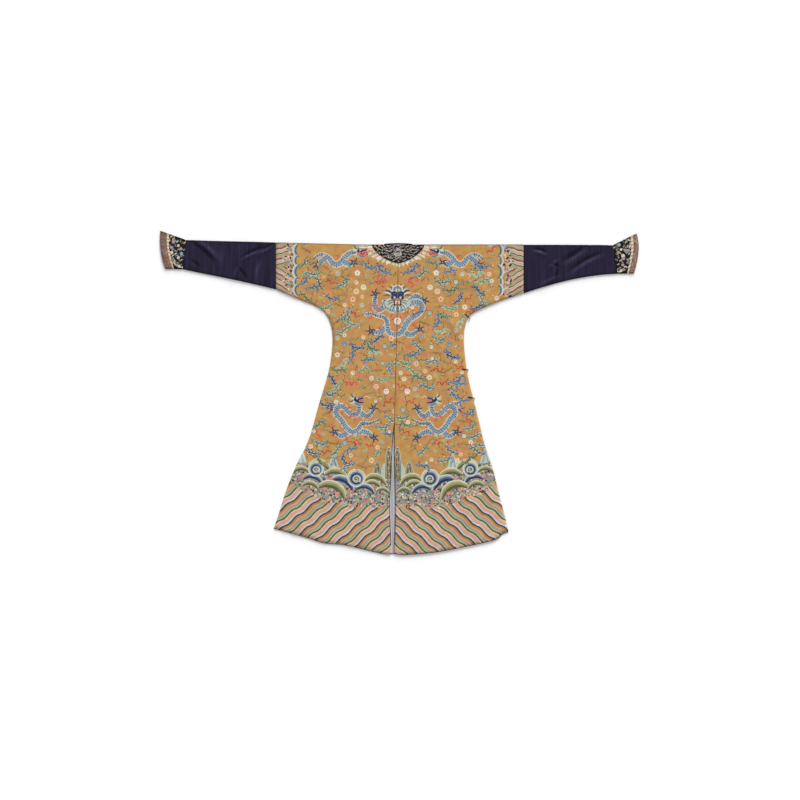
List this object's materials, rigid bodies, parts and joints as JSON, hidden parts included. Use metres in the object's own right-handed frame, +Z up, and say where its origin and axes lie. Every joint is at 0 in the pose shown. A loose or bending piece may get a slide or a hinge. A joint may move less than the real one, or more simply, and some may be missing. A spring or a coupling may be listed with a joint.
{
  "type": "chinese dragon robe",
  "caption": "Long-sleeved silk tapestry court robe with dragons over waves, horseshoe cuffs and a split skirt, laid flat with its back up.",
  "frame": {"origin": "on the surface it lies on, under the middle of its box", "axes": "+Z up, out of the robe's back; +Y from hem to neck; +X to the wearer's right hand"},
  "size_m": [2.101, 1.4202, 0.007],
  "materials": {
    "ochre_tapestry": "slit-woven silk tapestry, ochre ground with figures in many colours",
    "navy_silk": "ribbed navy silk with a soft sheen",
    "dark_tapestry": "silk tapestry, near-black ground with figures",
    "brown_edging": "brown patterned woven edging",
    "lining_silk": "pale blue-grey plain silk",
    "dark_bronze": "darkened cast metal"
  },
  "bodies": {
    "root": {"body_left": "ochre_tapestry", "body_right": "ochre_tapestry", "front_overlap": "ochre_tapestry", "front_lining": "lining_silk", "collar_back": "dark_tapestry", "neck_edging": "brown_edging", "sleeve_left": "navy_silk", "sleeve_right": "navy_silk", "cuff_left": "dark_tapestry", "cuff_right": "dark_tapestry", "cuff_edging_left": "brown_edging", "cuff_edging_right": "brown_edging", "button_strap_1": "brown_edging", "button_strap_2": "brown_edging", "button_strap_3": "brown_edging", "button_1": "dark_bronze", "button_2": "dark_bronze", "button_3": "dark_bronze"}
  },
  "joints": []
}
